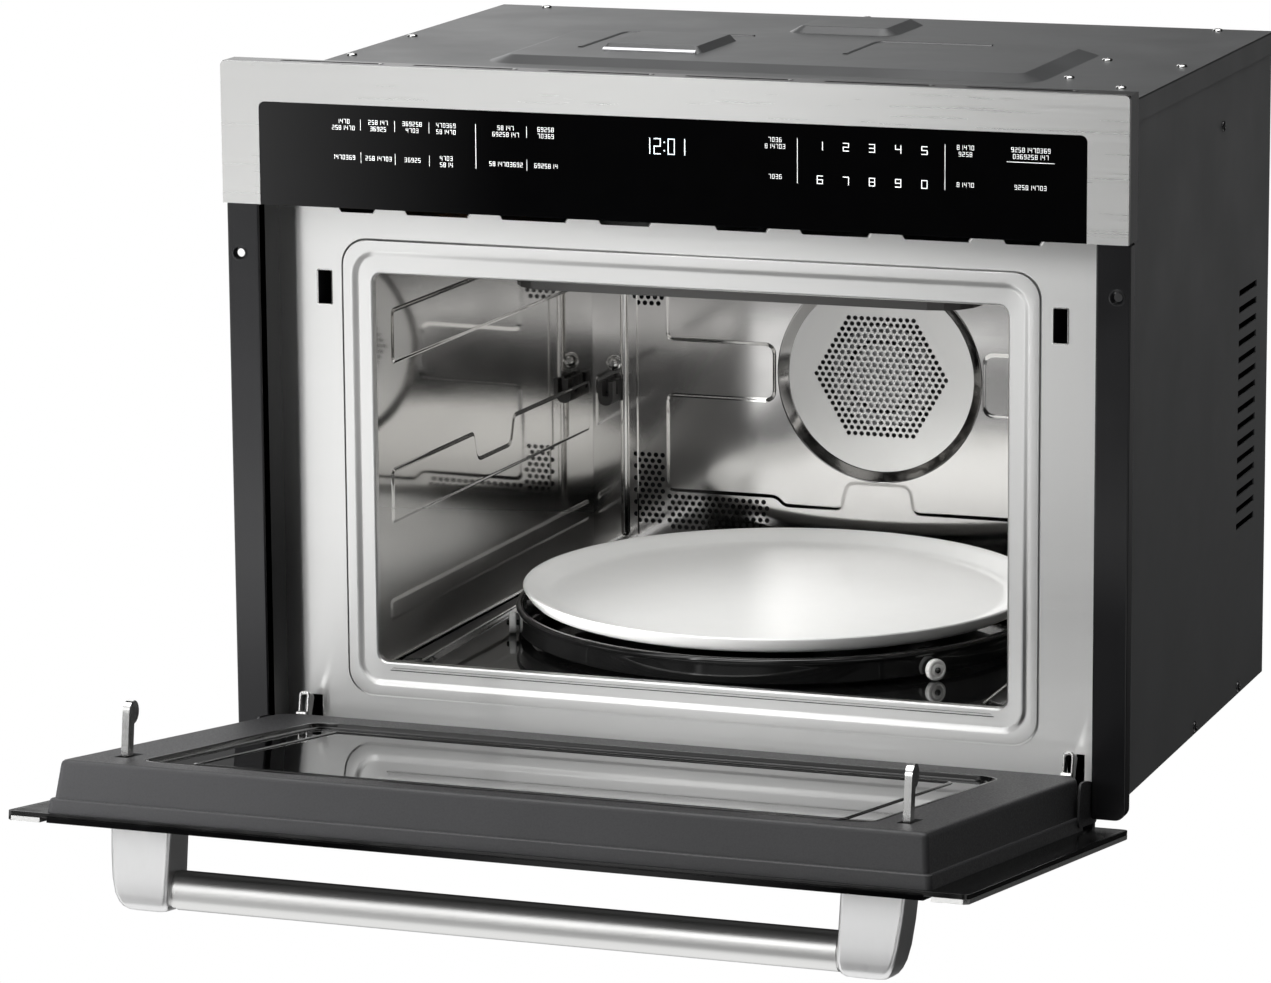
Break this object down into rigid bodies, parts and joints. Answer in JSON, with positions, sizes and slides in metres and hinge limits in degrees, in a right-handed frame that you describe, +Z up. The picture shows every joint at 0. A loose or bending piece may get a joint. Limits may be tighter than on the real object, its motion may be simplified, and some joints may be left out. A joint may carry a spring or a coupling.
{
  "type": "built-in speed oven",
  "caption": "Built-in speed oven with a drop-down door shown open, polished cavity, turntable, convection fan cover and a black glass control panel.",
  "frame": {"origin": "middle of the casing underside, where the oven stands on the cabinet shelf", "axes": "+X to the right seen from the front, +Y into the cabinet, +Z up"},
  "size_m": [0.595, 0.8297, 0.4766],
  "materials": {
    "black_paint": "satin black powder coat",
    "grey_paint": "dark grey galvanised and painted sheet",
    "plate_steel": "polished stainless",
    "trim_steel": "brushed stainless",
    "cavity_steel": "mirror polished stainless",
    "black_glass": "black glass, backed",
    "black_plastic": "fine grained black plastic",
    "white_ceramic": "white glazed",
    "black_enamel": "glossy black enamel",
    "dark_heater": "oxidised heater sheath",
    "bright_metal": "plated steel",
    "aluminium": "satin",
    "white_plastic": "white roller plastic",
    "board": "green board",
    "rubber": "black silicone",
    "copper_brown": "varnished core and winding",
    "grey_metal": "plain"
  },
  "bodies": {
    "casing": {"base_panel": "grey_paint", "left_side_panel": "grey_paint", "right_side_panel": "grey_paint", "top_cover": "grey_paint", "back_panel": "grey_paint", "rear_motor_cover": "grey_paint", "cable_gland": "black_plastic", "front_plate": "plate_steel", "left_mounting_flange": "black_paint", "right_mounting_flange": "black_paint", "trim_frame": "trim_steel", "control_glass": "black_glass", "control_housing": "black_plastic", "control_board": "board", "display_module": "black_plastic", "left_cavity_wall": "cavity_steel", "right_cavity_wall": "cavity_steel", "cavity_ceiling": "cavity_steel", "cavity_floor": "black_enamel", "cavity_back_wall": "cavity_steel", "fan_cover": "cavity_steel", "fan_housing": "grey_metal", "ring_heater": "dark_heater", "convection_motor": "grey_metal", "broil_element": "dark_heater", "element_hangers": "bright_metal", "rack_hooks": "black_plastic", "rack_bolts": "bright_metal", "component_deck": "grey_metal", "magnetron": "grey_metal", "waveguide": "grey_metal", "transformer": "copper_brown", "capacitor": "grey_metal", "blower_housing": "black_plastic", "lamp": "black_plastic", "latch_switches": "black_plastic", "turntable_motor": "grey_metal", "hinge_brackets": "black_paint", "hinge_pins": "bright_metal", "casing_screws": "bright_metal"},
    "door": {"door_glass": "black_glass", "door_trim": "trim_steel", "door_back_panel": "black_paint", "door_liner": "black_plastic", "door_inner_glass": "black_glass", "door_screen": "black_paint", "door_gasket": "rubber", "handle_bar": "trim_steel", "handle_posts": "aluminium", "hinge_arms": "bright_metal"},
    "left_hook": {"left_latch_hook": "bright_metal"},
    "right_hook": {"right_latch_hook": "bright_metal"},
    "turntable": {"turntable_support": "black_enamel", "drive_coupler": "black_plastic"},
    "plate": {"turntable_plate": "white_ceramic"},
    "roller_a": {"roller_1": "white_plastic"},
    "roller_b": {"roller_2": "white_plastic"},
    "roller_c": {"roller_3": "white_plastic"},
    "fan_wheel": {"convection_fan": "grey_metal"},
    "blower": {"blower_wheel": "black_plastic"}
  },
  "joints": [
    {"name": "door_hinge", "type": "hinge", "parent": "casing", "child": "door", "pos_m": [0, -0.2269, 0.0097], "axis": [-1, 0, 0], "range_deg": [0, 81.66]},
    {"name": "left_hook_pivot", "type": "hinge", "parent": "door", "child": "left_hook", "pos_m": [-0.2448, -0.52225, 0.05846], "axis": [1, 0, 0], "range_deg": [0, 8]},
    {"name": "right_hook_pivot", "type": "hinge", "parent": "door", "child": "right_hook", "pos_m": [0.2448, -0.52225, 0.05846], "axis": [1, 0, 0], "range_deg": [0, 8]},
    {"name": "turntable_spin", "type": "hinge", "parent": "casing", "child": "turntable", "pos_m": [0, -0.0135, 0.058], "axis": [0, 0, 1], "continuous": true},
    {"name": "plate_lift", "type": "slide", "parent": "turntable", "child": "plate", "axis": [0, 0, 1], "range_m": [0, 0.06]},
    {"name": "fan_spin", "type": "hinge", "parent": "casing", "child": "fan_wheel", "pos_m": [0.01, 0.1865, 0.196], "axis": [0, 1, 0], "continuous": true},
    {"name": "blower_spin", "type": "hinge", "parent": "casing", "child": "blower", "pos_m": [-0.05, 0.1415, 0.3976], "axis": [1, 0, 0], "continuous": true},
    {"name": "roller_a_spin", "type": "hinge", "parent": "turntable", "child": "roller_a", "pos_m": [0.14113, -0.12377, 0.0653], "axis": [0.788, -0.6157, 0], "continuous": true},
    {"name": "roller_b_spin", "type": "hinge", "parent": "turntable", "child": "roller_b", "pos_m": [0.02493, 0.16386, 0.0653], "axis": [0.1392, 0.9903, 0], "continuous": true},
    {"name": "roller_c_spin", "type": "hinge", "parent": "turntable", "child": "roller_c", "pos_m": [-0.16606, -0.08059, 0.0653], "axis": [-0.9272, -0.3746, 0], "continuous": true}
  ],
  "couplings": [
    {"joint": "right_hook_pivot", "follows": "left_hook_pivot", "ratio": 1},
    {"joint": "roller_a_spin", "follows": "turntable_spin", "ratio": -25.586},
    {"joint": "roller_b_spin", "follows": "turntable_spin", "ratio": -25.586},
    {"joint": "roller_c_spin", "follows": "turntable_spin", "ratio": -25.586}
  ]
}
